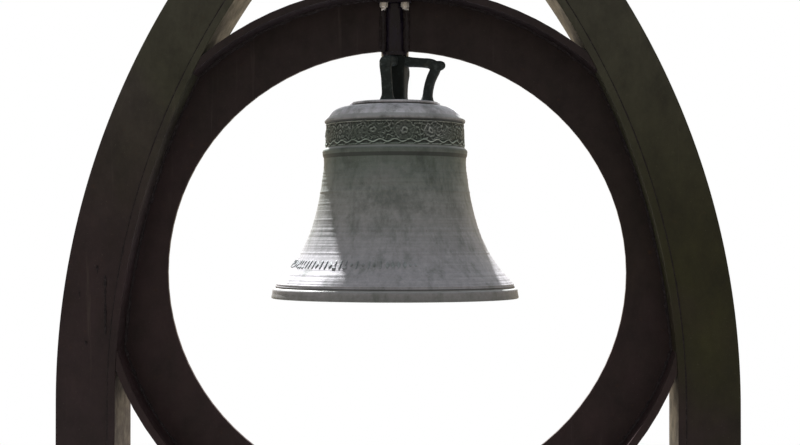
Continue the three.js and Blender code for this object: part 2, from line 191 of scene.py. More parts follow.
class Finish:
    """One procedural material on a Principled shader."""

    def __init__(self, name, **uniform):
        self.material = bpy.data.materials.new(name)
        self.material.use_nodes = True
        self.tree = self.material.node_tree
        self.shader = self.tree.nodes["Principled BSDF"]
        for socket, value in uniform.items():
            self.shader.inputs[socket.replace("_", " ")].default_value = value
        self.position = self.node("ShaderNodeTexCoord").outputs["Object"]

    def node(self, kind, inputs=(), **settings):
        return add_node(self.tree, kind, inputs, **settings)

    def noise(self, scale, detail=5.0, roughness=0.6, stretch=(1, 1, 1), shift=0.0):
        place = {"Vector": self.position, "Scale": stretch, "Location": (shift, shift, shift)}
        mapping = self.node("ShaderNodeMapping", place).outputs["Vector"]
        inputs = {"Vector": mapping, "Scale": scale, "Detail": detail, "Roughness": roughness}
        return self.node("ShaderNodeTexNoise", inputs).outputs["Fac"]

    def axis(self, name):
        return self.node("ShaderNodeSeparateXYZ", {0: self.position}).outputs[name]

    def mask(self, value, low, high, top=1.0):
        inputs = {"Value": value, "From Min": low, "From Max": high, "To Max": top}
        made = self.node("ShaderNodeMapRange", inputs, interpolation_type="SMOOTHSTEP")
        return made.outputs["Result"]

    def math(self, operation, a, b=0.0, c=0.0):
        return self.node("ShaderNodeMath", {0: a, 1: b, 2: c}, operation=operation).outputs[0]

    def mix(self, factor, a, b, blend="MIX"):
        inputs = {0: factor, 6: self.color(a), 7: self.color(b)}
        made = self.node("ShaderNodeMix", inputs, data_type="RGBA", blend_type=blend)
        return made.outputs[2]

    def color(self, value):
        return (*value, 1.0) if isinstance(value, tuple) else value

    def ramp(self, value, *stops):
        made = self.node("ShaderNodeValToRGB", {"Fac": value})
        elements = made.color_ramp.elements
        elements.remove(elements[1])
        elements[0].position, elements[0].color = stops[0][0], self.color(stops[0][1])
        for position, color in stops[1:]:
            elements.new(position).color = self.color(color)
        return made.outputs["Color"]

    def done(self, color, roughness=None, bump=None, distance=0.0005, strength=1.0):
        """Links the color, roughness and bump height, and gives the material."""
        self.tree.links.new(color, self.shader.inputs["Base Color"])
        if roughness is not None:
            self.tree.links.new(roughness, self.shader.inputs["Roughness"])
        if bump is not None:
            inputs = {"Height": bump, "Distance": distance, "Strength": strength}
            normal = self.node("ShaderNodeBump", inputs).outputs["Normal"]
            self.tree.links.new(normal, self.shader.inputs["Normal"])
        return self.material


# ---- Finishes ------------------------


STEEL_ROUGHNESS = (0.42, 0.68)
RUST = (0.060, 0.026, 0.012)


def steel_finish(name, purple, olive, dust_and_sky_light, pale):
    """Old brown steel: purple-brown and olive-brown patches, pale dusty specks and runs."""
    make = Finish(name, Metallic=0.0, IOR=1.5, Specular_IOR_Level=0.3)
    patches = make.noise(2.3, 4, 0.6, (1, 1, 0.8), 3.1)
    sideways = make.math("MULTIPLY", make.axis("X"), 0.28)
    upwards = make.math("MULTIPLY_ADD", make.axis("Z"), 0.5, -0.75)
    olive_side = make.math("ADD", make.math("ADD", patches, sideways), upwards)
    color = make.mix(make.mask(olive_side, 0.36, 0.66), purple, olive)
    # Paler towards the top: partly dust, partly painted sky light.
    top_dust_and_sky_light = make.mask(make.axis("Z"), 1.45, 2.35, 0.70)
    color = make.mix(top_dust_and_sky_light, color, dust_and_sky_light)
    cloud = make.noise(14, 8, 0.7, (1, 1, 0.6), 9.0)
    shade = make.ramp(cloud, (0.25, (0.55, 0.52, 0.52)), (0.75, (1.6, 1.6, 1.55)))
    color = make.mix(1.0, color, shade, "MULTIPLY")
    speck = make.noise(260, 3, 0.7, shift=5.0)
    color = make.mix(make.mask(speck, 0.63, 0.80, 0.5), color, pale)
    run = make.noise(55, 4, 0.6, (1, 1, 0.045), 2.0)
    color = make.mix(make.mask(run, 0.62, 0.82, 0.28), color, pale)
    rust = make.noise(38, 6, 0.75, shift=7.7)
    color = make.mix(make.mask(rust, 0.60, 0.78, 0.55), color, RUST)
    roughness = make.mask(make.noise(30, 6, 0.7, shift=1.0), 0.25, 0.75)
    smoothest, roughest = STEEL_ROUGHNESS
    span = make.math("MULTIPLY", roughness, roughest - smoothest)
    roughness = make.math("ADD", span, smoothest)
    grain = make.noise(420, 5, 0.65)
    height = make.math("ADD", make.math("MULTIPLY", grain, 0.4), make.noise(45, 5, 0.6))
    return make.done(color, roughness, height, 0.0006, 0.6)


def weld_and_shade_finish():
    make = Finish("weld_metal_and_shade", Metallic=0.0, IOR=1.5, Specular_IOR_Level=0.25)
    blotch = make.noise(120, 5, 0.7)
    # Dark weld metal, darkened further to near black as painted shade for the corners between the
    # ring's web and rim.
    color = make.ramp(
        blotch,
        (0.30, (0.009, 0.006, 0.007)),
        (0.55, (0.018, 0.013, 0.015)),
        (0.75, (0.045, 0.036, 0.040)),
    )
    roughness = make.math("MULTIPLY_ADD", blotch, -0.5, 1.0)
    return make.done(color, roughness, make.noise(500, 4, 0.6), 0.0004, 0.6)


def paint_finish():
    """Worn dark paint with pale specks where it has chipped."""
    make = Finish("hanger_paint", Metallic=0.0, IOR=1.5, Specular_IOR_Level=0.35)
    cloud = make.noise(45, 6, 0.65, (1, 1, 0.4))
    color = make.ramp(
        cloud,
        (0.3, (0.004, 0.003, 0.008)),
        (0.6, (0.009, 0.006, 0.016)),
        (0.8, (0.024, 0.018, 0.034)),
    )
    speck = make.noise(300, 3, 0.7, shift=4.0)
    color = make.mix(make.mask(speck, 0.66, 0.82, 0.6), color, (0.12, 0.09, 0.07))
    roughness = make.mask(cloud, 0.1, 1.2)
    return make.done(color, roughness, make.noise(380, 5, 0.6), 0.0003, 0.6)


def zinc_highlight_finish():
    make = Finish("zinc_plate_highlight", Metallic=0.35)
    cloud = make.noise(160, 6, 0.7)
    # Pale zinc, brightened towards white as painted highlight.
    color = make.ramp(
        cloud,
        (0.3, (0.42, 0.40, 0.37)),
        (0.5, (0.74, 0.71, 0.68)),
        (0.75, (0.88, 0.86, 0.83)),
    )
    stain = make.noise(50, 5, 0.7, shift=3.0)
    color = make.mix(make.mask(stain, 0.56, 0.76, 0.7), color, (0.12, 0.07, 0.04))
    return make.done(color, make.mask(cloud, 0.9, 0.1), make.noise(700, 4, 0.6), 0.0002, 0.5)


# Heights over the lip of the mouldings' ledges, given a painted highlight, and of the undercuts
# under them, given painted shade.
HIGHLIT_LEDGES = [(0.3655, 0.3712), (0.4405, 0.4468), (0.0225, 0.0262)]
SHADED_UNDERCUTS = [(0.3440, 0.3535), (0.4298, 0.4342), (0.4735, 0.4768), (0.0268, 0.0300)]
LEDGE_HIGHLIGHT, UNDERCUT_SHADE = (0.304, 0.319, 0.319), (0.027, 0.030, 0.029)

# A rough middle of the bell's wall: its radius at the lip, how fast it narrows upwards, its radius
# at the waist, and the height of the ceiling over the lip.
WALL_AT_LIP, WALL_SLOPE, WALL_AT_WAIST, CEILING = 0.285, 0.33, 0.163, 0.460


def outer_side(make):
    """A mask of the outside of the bell: past the middle of its wall, or over its ceiling."""
    x, y, z = (make.axis(name) for name in "XYZ")
    reach = make.math("SQRT", make.math("MULTIPLY_ADD", x, x, make.math("MULTIPLY", y, y)))
    flare = make.math("MULTIPLY_ADD", z, -WALL_SLOPE, WALL_AT_LIP + WALL_SLOPE * LIP_Z)
    middle = make.math("MAXIMUM", flare, WALL_AT_WAIST)
    outside = make.mask(make.math("SUBTRACT", reach, middle), -MM, MM)
    ceiling = LIP_Z + CEILING
    return make.math("MAXIMUM", outside, make.mask(z, ceiling - MM, ceiling + MM))


def height_band(make, low, high, top):
    """A mask between two heights over the lip, with soft edges."""
    soften = 0.0008
    enter = make.mask(make.axis("Z"), LIP_Z + low - soften, LIP_Z + low + soften, top)
    leave = make.mask(make.axis("Z"), LIP_Z + high - soften, LIP_Z + high + soften, top)
    return make.math("SUBTRACT", enter, leave)


def bell_finish():
    """Grey-green patina with turned rings, and runs that follow the wall down, with painted light
    and shade in its tones.
    """
    make = Finish("bell_patina_light_shade", Metallic=0.35, IOR=1.5)
    span = {"Value": make.axis("Z"), "From Min": LIP_Z, "From Max": CROWN_Z}
    height = make.node("ShaderNodeMapRange", span).outputs["Result"]
    # Tones by height: patina, with the shoulder painted pale for sky light and the upper waist
    # painted dark for shade.
    color = make.ramp(
        height,
        (0.00, (0.175, 0.182, 0.184)),
        (0.08, (0.319, 0.318, 0.351)),
        (0.25, (0.300, 0.304, 0.331)),
        (0.45, (0.255, 0.267, 0.274)),
        (0.60, (0.178, 0.204, 0.200)),
        (0.70, (0.130, 0.160, 0.150)),
        (0.885, (0.091, 0.100, 0.093)),
        (0.925, (0.532, 0.540, 0.600)),
        (1.00, (0.562, 0.570, 0.631)),
    )
    rings = make.noise(900, 2, 0.5, (0, 0, 1))
    wide_rings = make.noise(160, 3, 0.6, (0.02, 0.02, 1))
    turned = make.math("MULTIPLY_ADD", rings, 0.4, wide_rings)
    shade = make.ramp(turned, (0.40, (0.88, 0.88, 0.88)), (1.0, (1.10, 1.10, 1.10)))
    color = make.mix(1.0, color, shade, "MULTIPLY")
    run = make.noise(26, 6, 0.7, (1, 1, 0.16))
    color = make.mix(make.mask(run, 0.48, 0.72, 0.55), color, (0.080, 0.103, 0.087))
    cloud = make.noise(11, 6, 0.65, (1, 1, 0.7), 4.4)
    color = make.mix(make.mask(cloud, 0.50, 0.75, 0.45), color, (0.251, 0.247, 0.262))
    mottle = make.noise(70, 8, 0.72)
    shade = make.ramp(mottle, (0.3, (0.78, 0.80, 0.78)), (0.7, (1.22, 1.20, 1.22)))
    color = make.mix(1.0, color, shade, "MULTIPLY")
    fleck = make.noise(170, 4, 0.7, shift=17.0)
    color = make.mix(make.mask(fleck, 0.62, 0.74, 0.5), color, (0.319, 0.334, 0.327))
    pit = make.noise(210, 3, 0.6, shift=8.0)
    color = make.mix(make.mask(pit, 0.66, 0.76, 0.6), color, (0.038, 0.046, 0.042))
    # Dark patches on the upper waist: partly patina, partly painted shade.
    upper = make.mask(make.axis("Z"), LIP_Z + 0.06, LIP_Z + 0.30, 0.62)
    patch_and_painted_shade = make.mask(make.noise(15, 9, 0.75, (1, 1, 0.8), 12.5), 0.46, 0.68)
    color = make.mix(make.math("MULTIPLY", patch_and_painted_shade, upper), color, (0.042, 0.056, 0.050))
    outside = outer_side(make)
    # Painted highlight on the ledges and painted shade in the undercuts, on the outside only.
    for bands, top, painted_tone in ((HIGHLIT_LEDGES, 0.65, LEDGE_HIGHLIGHT), (SHADED_UNDERCUTS, 0.75, UNDERCUT_SHADE)):
        for low, high in bands:
            painted_band = make.math("MULTIPLY", outside, height_band(make, low, high, top))
            color = make.mix(painted_band, color, painted_tone)
    roughness = make.math("MULTIPLY_ADD", mottle, 0.35, 0.42)
    bump = make.math("MULTIPLY_ADD", rings, 0.5, mottle)
    return make, color, roughness, bump


def bell_wall_finish():
    make, color, roughness, bump = bell_finish()
    return make.done(color, roughness, bump, 0.0004, 0.5)


def relief_finish():
    """The same patina, with painted shade in the hollows of the relief and painted highlight on its
    ridges and upward faces, partly patina in the hollows and rubbing on the ridges.
    """
    make, color, roughness, bump = bell_finish()
    make.material.name = "relief_patina_light_shade"
    relief = make.node("ShaderNodeAttribute", attribute_name="relief").outputs["Fac"]
    shade = make.ramp(
        relief, (0.0, (0.18, 0.21, 0.21)), (0.40, (0.85, 0.92, 0.90)), (1.0, (4.2, 4.2, 4.1))
    )
    color = make.mix(1.0, color, shade, "MULTIPLY")
    return make.done(color, roughness, bump, 0.0003, 0.5)


def crown_finish(name, dark, middle, light):
    """Rough cast bronze, dark in its hollows and lighter on its edges, partly by wear and partly as
    painted highlight.
    """
    make = Finish(name, Metallic=0.1, IOR=1.5, Specular_IOR_Level=0.25)
    cloud = make.noise(70, 7, 0.7)
    color = make.ramp(cloud, (0.3, dark), (0.55, middle), (0.75, light))
    sharpness = make.node("ShaderNodeNewGeometry").outputs["Pointiness"]
    # Lighter on sharp edges: partly wear, partly painted highlight.
    color = make.mix(make.mask(sharpness, 0.51, 0.58, 0.7), color, light)
    rub = make.noise(25, 5, 0.6, shift=6.0)
    color = make.mix(make.mask(rub, 0.62, 0.8, 0.35), color, (0.11, 0.11, 0.09))
    roughness = make.math("MULTIPLY_ADD", cloud, 0.4, 0.6)
    return make.done(color, roughness, make.noise(300, 6, 0.7), 0.0006, 0.7)


def iron_finish():
    make = Finish("forged_iron", Metallic=0.45, IOR=1.5)
    cloud = make.noise(60, 7, 0.7)
    color = make.ramp(
        cloud,
        (0.3, (0.020, 0.018, 0.017)),
        (0.6, (0.050, 0.044, 0.040)),
        (0.8, (0.10, 0.06, 0.035)),
    )
    return make.done(color, make.mask(cloud, 0.0, 1.0), make.noise(240, 6, 0.7), 0.0006, 0.7)


def brass_finish():
    make = Finish("bush_brass", Metallic=1.0)
    cloud = make.noise(120, 5, 0.6)
    color = make.ramp(cloud, (0.3, (0.30, 0.18, 0.06)), (0.7, (0.55, 0.38, 0.16)))
    return make.done(color, make.mask(cloud, 1.2, 0.2), make.noise(900, 3, 0.5), 0.0002, 0.4)


def leather_finish():
    make = Finish("pad_leather", Metallic=0.0)
    cells = {"Vector": make.position, "Scale": 600.0}
    grain = make.node("ShaderNodeTexVoronoi", cells).outputs["Distance"]
    cloud = make.noise(80, 5, 0.6)
    color = make.ramp(cloud, (0.3, (0.030, 0.017, 0.010)), (0.7, (0.085, 0.050, 0.030)))
    return make.done(color, make.mask(cloud, 1.0, 0.1), grain, 0.0005, 0.6)


def floor_finish():
    make = Finish("studio_floor", Metallic=0.0, Roughness=0.8)
    cloud = make.noise(1.5, 4, 0.5)
    color = make.ramp(cloud, (0.3, (0.35, 0.35, 0.345)), (0.7, (0.39, 0.39, 0.385)))
    return make.done(color)


FINISHES = {
    "weathered_steel": steel_finish(
        "arch_steel",
        purple=(0.0200, 0.0110, 0.0135),
        olive=(0.0190, 0.0185, 0.0050),
        dust_and_sky_light=(0.056, 0.057, 0.048),
        pale=(0.13, 0.11, 0.085),
    ),
    "dark_steel": steel_finish(
        "ring_steel",
        purple=(0.0205, 0.0105, 0.0128),
        olive=(0.0165, 0.0095, 0.0090),
        dust_and_sky_light=(0.0160, 0.0105, 0.0150),
        pale=(0.10, 0.08, 0.08),
    ),
    "hanger_steel": paint_finish(),
    "zinc_hardware": zinc_highlight_finish(),
    "bell_bronze": bell_wall_finish(),
    "crown_bronze": crown_finish(
        "crown_patina_edge_highlight",
        dark=(0.012, 0.016, 0.016),
        middle=(0.026, 0.034, 0.035),
        light=(0.085, 0.105, 0.108),
    ),
    "forged_iron": iron_finish(),
    "bush_brass": brass_finish(),
    "pad_leather": leather_finish(),
}
WELD = weld_and_shade_finish()
RELIEF_LIGHT_SHADE = relief_finish()
# The crown's patina made darker for the post, as painted shade.
POST_PATINA_PAINTED_SHADE = crown_finish(
    "post_patina_painted_shade",
    dark=(0.004, 0.006, 0.006),
    middle=(0.008, 0.012, 0.012),
    light=(0.036, 0.048, 0.045),
)

# ---- Nodes that keep their own shape ----


def smooth_group():
    """Geometry nodes that shade every face smooth, for the weighted normals that follow."""
    group = bpy.data.node_groups.new("smooth_faces", "GeometryNodeTree")
    for direction in ("INPUT", "OUTPUT"):
        group.interface.new_socket("Geometry", in_out=direction, socket_type="NodeSocketGeometry")
    entry = group.nodes.new("NodeGroupInput")
    shade = group.nodes.new("GeometryNodeSetShadeSmooth")
    leave = group.nodes.new("NodeGroupOutput")
    group.links.new(entry.outputs[0], shade.inputs["Geometry"])
    group.links.new(shade.outputs["Geometry"], leave.inputs[0])
    return group


SMOOTH = smooth_group()


def soften_edges(node, width):
    """Rounds the edges of a node and shades its curves smooth."""
    weld = node.modifiers.new("weld", "WELD")
    weld.merge_threshold = 0.00002
    bevel = node.modifiers.new("edges", "BEVEL")
    bevel.width = width
    bevel.segments = 2
    bevel.limit_method = "ANGLE"
    bevel.angle_limit = math.radians(28)
    bevel.use_clamp_overlap = True
    node.modifiers.new("smooth", "NODES").node_group = SMOOTH
    normals = node.modifiers.new("normals", "WEIGHTED_NORMAL")
    normals.weight = 80


EDGE_ROUNDING = {"weathered_steel": 0.0012, "dark_steel": 0.0012, "forged_iron": 0.0015}
for entry in frame["record"]["subparts"]:
    node = frame["nodes"][entry["node"]]
    slot = entry["material_slot"]
    node.data.materials.clear()
    node.data.materials.append(FINISHES[slot])
    soften_edges(node, EDGE_ROUNDING.get(slot, 0.0006))

# ---- Bell ----------------------------

BORE = 0.015  # radius of the rod's hole through the crown and the post
FRIEZE_LOW, FRIEZE_HIGH = 0.3715, 0.4305
FRIEZE_LOW_RADIUS, FRIEZE_HIGH_RADIUS = 0.172, 0.1705
FRIEZE_RECESS = 0.0016
FRIEZE_GROUND, FRIEZE_RISE = -0.0012, 0.0036  # from the wall, and from the ground to the top
FRIEZE_BACK = 0.0024  # from the upper radius in to the back of the frieze
FRIEZE_COLUMNS, FRIEZE_ROWS = 1080, 58
NEUTRAL_RELIEF = 0.40  # between the painted shade in the hollows and the painted highlight on the ridges
WAIST = bezier((0.176, 0.328), (0.200, 0.090), (0.278, 0.067), (0.296, 0.028))


def waist_radius(height):
    return np.interp(height, WAIST[::-1, 1], WAIST[::-1, 0])


def bell_profile():
    """The bell's wall in radius and height over the lip, as a closed line."""
    low, high = FRIEZE_LOW_RADIUS - FRIEZE_RECESS, FRIEZE_HIGH_RADIUS - FRIEZE_RECESS
    outside = [
        resample(line((BORE, 0.483), (0.108, 0.483)), 0.006),
        resample([(0.109, 0.4827), (0.1115, 0.481), (0.1120, 0.4785), (0.1100, 0.4750)], 0.0012),
        resample(bezier((0.1088, 0.4738), (0.134, 0.474), (0.157, 0.465), (0.1655, 0.4485)), 0.002),
        resample([(0.1668, 0.4465), (0.1735, 0.4405), (0.1745, 0.4370), (0.1738, 0.4335)], 0.0011),
        resample([(0.1712, 0.4313), (high, 0.4300), (low, 0.3720), (0.1725, 0.3705)], 0.0025),
        resample([(0.1745, 0.3690), (0.1790, 0.3640), (0.1797, 0.3610), (0.1790, 0.3525)], 0.0011),
        resample([(0.1783, 0.3500), (0.1765, 0.3460), (0.1760, 0.3290)], 0.0014),
        resample(WAIST, 0.0017)[1:],
        resample([(0.2952, 0.0268), (0.2958, 0.0255), (0.3008, 0.0240), (0.3022, 0.0222)], 0.0009),
        resample([(0.3030, 0.0200), (0.3042, 0.0110), (0.3058, 0.0035)], 0.0016),
        resample([(0.3056, 0.0010), (0.3040, 0.0000), (0.3015, 0.0005)], 0.0010),
    ]
    inside = [
        resample(line((0.296, 0.0025), (0.250, 0.0190)), 0.006),
        resample(bezier((0.246, 0.022), (0.228, 0.074), (0.182, 0.110), (0.158, 0.328)), 0.006),
        resample(line((0.1578, 0.334), (0.154, 0.410)), 0.008),
        resample(bezier((0.1538, 0.416), (0.152, 0.444), (0.136, 0.458), (0.100, 0.458)), 0.005),
        resample(line((0.094, 0.458), (BORE, 0.458)), 0.008),
    ]
    return np.concatenate(outside), np.concatenate(inside)


# Lines round the waist: height over the lip, width, and how far they stand out.
RING_LINES = [
    (0.2610, 0.0020, 0.0009),
    (0.3080, 0.0016, 0.0005),
    (0.1120, 0.0016, 0.0006),
    (0.1040, 0.0016, 0.0005),
    (0.0600, 0.0018, 0.0006),
    (0.0400, 0.0016, 0.0005),
    (0.0350, 0.0016, 0.0012),
]


def strickle_marks(profile):
    """Fine rings left by the turned mould, and the raised and sunk lines of the waist."""
    radius, height = profile.T
    on_waist = (height < 0.325) & (height > 0.026)
    rings = smoothed(rng.normal(0, 1, len(profile)), 3) * 0.00032
    rings += smoothed(rng.normal(0, 1, len(profile)), 11) * 0.00022
    offset = np.where(on_waist, rings, rings * 0.35)
    for centre, width, rise in RING_LINES:
        offset += rise * np.exp(-(((height - centre) / width) ** 2)) * on_waist
    return np.stack([radius + offset, height], axis=-1)


def make_bell():
    """The wall turned round the axis, inside and outside in one closed skin."""
    outside, inside = bell_profile()
    profile = np.concatenate([strickle_marks(outside), inside])
    azimuths = full_turn(192)
    points = round_axis(profile + (0, LIP_Z), azimuths)
    # The casting isn't quite round: a slow swell of a fraction of a millimetre.
    swell = 0.0003 * np.sin(3 * azimuths + 0.4) + 0.0002 * np.sin(7 * azimuths + 1.9)
    points[..., 0] *= 1 + swell / 0.2
    points[..., 1] *= 1 + swell / 0.2
    bell = grid("bell_shell", points, loop_rows=True)
    finish_piece(bell, FINISHES["bell_bronze"], replaced=["bell_body"])


# ---- Frieze --------------------------
# Motifs are drawn in millimetres on the unrolled strip: u to the right, v upwards.

FRIEZE_STRIP_RADIUS = 171  # of the strip as it is unrolled, in millimetres
UNITS = 3  # times that the motifs repeat round the bell


def soft(edge, width=1.0):
    """One inside an edge and nought outside, over a soft step."""
    return np.clip(0.5 + edge / width, 0, 1)


def ridge(distance, half_width):
    return np.sqrt(np.clip(1 - (distance / half_width) ** 2, 0, 1))


def turned_by(u, v, angle):
    c, s = math.cos(angle), math.sin(angle)
    return u * c + v * s, v * c - u * s


def rosette(u, v, size, petals):
    reach, angle = np.hypot(u, v), np.arctan2(v, u)
    petal = np.abs(np.cos(petals * angle / 2))
    flower = soft(size * (0.76 + 0.24 * petal) - reach, 2.0) * (0.45 + 0.35 * petal)
    hollow = 1 - 0.5 * np.exp(-(((reach - 0.36 * size) / (0.12 * size)) ** 2))
    button = 0.9 * ridge(reach, 0.24 * size)
    return np.maximum(flower * hollow, button)


def scroll(u, v, size, turns, hand=1):
    reach, angle = np.hypot(u, v), hand * np.arctan2(v, u) / (2 * math.pi)
    phase = reach / size * turns - angle
    groove = 0.5 + 0.5 * np.cos(2 * math.pi * phase)
    return soft(size - reach, 1.5) * (0.15 + 0.75 * groove)


def leaf(u, v, length, width, angle):
    along, across = turned_by(u, v, angle)
    t = np.clip(along / length, 0, 1)
    half = width * np.sin(math.pi * t**0.8) + 1e-6
    inside = soft(half - np.abs(across), 1.0) * (along > 0) * (along < length)
    veins = 0.12 * np.cos(2.2 * (along - 1.6 * np.abs(across)))
    rib = 0.25 * np.exp(-((across / 0.9) ** 2))
    return inside * np.clip(0.42 + rib + veins, 0, 1)


def loop(u, v, size, width):
    return 0.7 * ridge(np.hypot(u, v) - size, width)


def boss(u, v, size):
    """A ring-shaped boss with a hollow middle."""
    return 0.95 * ridge(np.hypot(u, v) - 0.62 * size, 0.38 * size)


def motifs(u, v):
    """One unit of the frieze, with its middle at u = 0."""
    parts = [
        0.55 * rosette(u - 31, v - 33, 23, 9),
        boss(u - 31, v - 33, 10.0),
        loop(u - 31, v - 33, 23.5, 2.2),
        0.6 * scroll(u + 44, v - 34, 17, 1.6),
        boss(u + 44, v - 34, 8.0),
        0.7 * scroll(u - 98, v - 33, 17.0, 1.6, -1),
        boss(u - 98, v - 33, 8.5),
        rosette(u - 191, v - 33, 16.0, 7),
        boss(u - 191, v - 33, 6.0),
        rosette(u + 141, v - 32, 19.0, 8),
        boss(u + 141, v - 32, 6.5),
    ]
    for step in range(3):
        parts.append(leaf(u + 112 - 14 * step, v - 13, 38, 5.6, math.radians(64)))
        parts.append(leaf(u + 70 + 14 * step, v - 13, 38, 5.6, math.radians(116)))
    for turn in (15, 50, 90, 130, 165):
        parts.append(leaf(u - 149, v - 14, 34, 6.5, math.radians(turn)))
    for centre, reach in ((31, 21), (-44, 15), (-141, 18), (191, 15)):
        for side in (-1, 1):
            for turn in (35, 75):
                angle = math.radians(90 - side * turn)
                root = centre + side * reach * 0.75
                parts.append(0.85 * leaf(u - root, v - 34, 22, 4.6, angle))
                parts.append(0.85 * leaf(u - root, v - 30, 20, 4.4, -angle))
    return np.maximum.reduce(parts)


def vine(u, v, length):
    """A wavy stem along the bottom with a leaf at every turn."""
    waves = 30
    pitch = length / waves
    middle = 9.0 + 3.2 * np.sin(2 * math.pi * u / pitch)
    stem = 0.8 * ridge(v - middle, 2.1)
    local = np.mod(u, pitch) - pitch / 2
    low = leaf(local + 8, v - 11, 11, 3.0, math.radians(28))
    high = leaf(-local + 8, v - 6, 11, 2.6, math.radians(-32))
    return np.maximum.reduce([stem, low, high])


def foliage(columns, rows, length, height):
    """Curling tendrils that fill the ground, from a random field with one typical spacing."""
    spacing, spread = 17.0, 0.020
    across = np.fft.fftfreq(columns, length / columns)
    up = np.fft.fftfreq(rows, height / rows)[:, None]
    keep = np.exp(-(((np.hypot(across, up) - 1 / spacing) / spread) ** 2))
    field = np.fft.ifft2(np.fft.fft2(rng.normal(0, 1, (rows, columns))) * keep).real
    return np.exp(-((field / field.std() / 0.36) ** 2))


def frieze_relief(columns, rows, length, height):
    """How far the frieze stands out, from nought to one, at each point of the unrolled strip."""
    u, v = np.meshgrid(
        np.linspace(0, length, columns, endpoint=False), np.linspace(0, height, rows)
    )
    unit = length / UNITS
    shift = 20  # from the middle of a unit to the middle of its motifs
    local = np.mod(u + unit / 2 - shift, unit) - unit / 2
    wave = 2 * math.pi / length
    bent_u = local + shift + 1.5 * np.sin(33 * wave * u + v / 6)
    bent_u += 1.0 * np.sin(87 * wave * u - v / 4)
    bent_v = v + 1.3 * np.sin(41 * wave * u + 2.0) + 0.8 * np.sin(96 * wave * u + v / 5)
    figures = motifs(bent_u, bent_v)
    tendrils = 0.60 * foliage(columns, rows, length, height) * (1 - figures)
    figures = np.maximum(figures, tendrils) * soft(v - 11, 2)
    relief = np.maximum(figures, vine(u, v, length))
    border = 0.55 * (ridge(v - height + 3.0, 1.6) + ridge(v - 1.6, 1.4))
    relief = np.maximum(relief, border)
    rough = rng.normal(0, 1, relief.shape)
    for _ in range(2):
        rough = (rough + np.roll(rough, 1, 0) + np.roll(rough, 1, 1) + np.roll(rough, -1, 1)) / 4
        relief = (
            4 * relief
            + np.roll(relief, 1, 1)
            + np.roll(relief, -1, 1)
            + np.vstack([relief[:1], relief[:-1]])
            + np.vstack([relief[1:], relief[-1:]])
        ) / 8
    return np.clip(relief + 0.10 * rough, 0, 1)


def store_relief(thing, values):
    """Keeps a value at each point for the relief finish to read."""
    store = thing.data.attributes.new("relief", "FLOAT", "POINT")
    store.data.foreach_set("value", values.astype(np.float32))


def make_frieze():
    columns, rows = FRIEZE_COLUMNS, FRIEZE_ROWS
    length = 2 * math.pi * FRIEZE_STRIP_RADIUS
    relief = frieze_relief(columns, rows, length, (FRIEZE_HIGH - FRIEZE_LOW) / MM)
    height = np.linspace(FRIEZE_LOW, FRIEZE_HIGH, rows)
    wall = np.interp(height, (FRIEZE_LOW, FRIEZE_HIGH), (FRIEZE_LOW_RADIUS, FRIEZE_HIGH_RADIUS))
    radius = wall[:, None] + FRIEZE_GROUND + FRIEZE_RISE * relief
    back = np.full((2, columns), FRIEZE_HIGH_RADIUS - FRIEZE_BACK)
    radius = np.vstack([radius, back])
    heights = np.r_[height, FRIEZE_HIGH, FRIEZE_LOW][:, None] + LIP_Z + 0 * radius
    azimuths = full_turn(columns)
    points = np.stack([radius * np.sin(azimuths), -radius * np.cos(azimuths), heights], axis=-1)
    frieze = grid("bell_frieze", points, loop_rows=True)
    # Painted highlight where a point stands over what is round it or faces up, and painted shade in
    # hollows; partly rubbing on the ridges and patina in the hollows.
    spread = np.arange(-4, 5)
    around = np.mean([np.roll(relief, (i, j), (0, 1)) for i in spread for j in spread], axis=0)
    above = np.vstack([relief[2:], relief[-2:]])
    ridge_light_hollow_shade = np.clip(0.30 + 1.0 * (relief - around) + 0.7 * (relief - above), 0, 1)
    store_relief(frieze, np.vstack([ridge_light_hollow_shade, 0 * back]).ravel())
    finish_piece(frieze, RELIEF_LIGHT_SHADE)


# ---- Plain marks round the lower waist ----

BAND_LOW, BAND_HIGH = 0.0760, 0.0940


def glyph_outlines():
    """Plain marks, as outlines in millimetres with v from nought to the band's height."""
    tall = (BAND_HIGH - BAND_LOW) / MM
    half = tall / 2
    bar = [(-1.7, 0), (1.7, 0), (1.7, tall), (-1.7, tall)]
    wide = [(-5, 0), (5, 0), (5, 3), (-5, 3)]
    lozenge = [(0, 0.5), (5.5, half), (0, tall - 0.5), (-5.5, half)]
    angles = full_turn(12)
    dot = [(3.4 * math.cos(a), half + 3.4 * math.sin(a)) for a in angles]
    tick = [(-1.5, half - 1.4), (1.5, half - 1.4), (1.5, tall), (-1.5, tall)]
    return [[bar], [lozenge], [bar, wide], [dot], [tick, wide], [bar]]


def make_ornament():
    """A row of plain raised marks, from the right of the front round the left side."""
    sets = glyph_outlines()
    vertices, faces = [], []
    azimuth = math.radians(14)
    while azimuth > math.radians(-205):
        for outline in sets[rng.integers(len(sets))]:
            start = len(vertices)
            count = len(outline)
            centre = np.mean(outline, axis=0)
            for rise, spread in ((-1.0, 1.0), (1.2, 1.0), (1.9, 0.7)):
                for point in outline:
                    u, v = centre + (np.asarray(point) - centre) * spread
                    height = BAND_LOW + v * MM
                    radius = waist_radius(height)
                    slope = (waist_radius(height + MM) - waist_radius(height - MM)) / (2 * MM)
                    tilt = math.atan(-slope)
                    radius_out = radius + rise * MM * math.cos(tilt)
                    at = azimuth + u * MM / radius
                    z = LIP_Z + height + rise * MM * math.sin(tilt)
                    vertices.append((radius_out * math.sin(at), -radius_out * math.cos(at), z))
            faces += ring_faces(3, count, False, start)
        azimuth -= (12.5 + rng.uniform(0, 3.5)) * MM / waist_radius(BAND_LOW)
    band = piece("bell_ornament", vertices, faces, smooth=False)
    store_relief(band, np.full(len(vertices), NEUTRAL_RELIEF))
    finish_piece(band, RELIEF_LIGHT_SHADE)


# ---- Crown ---------------------------


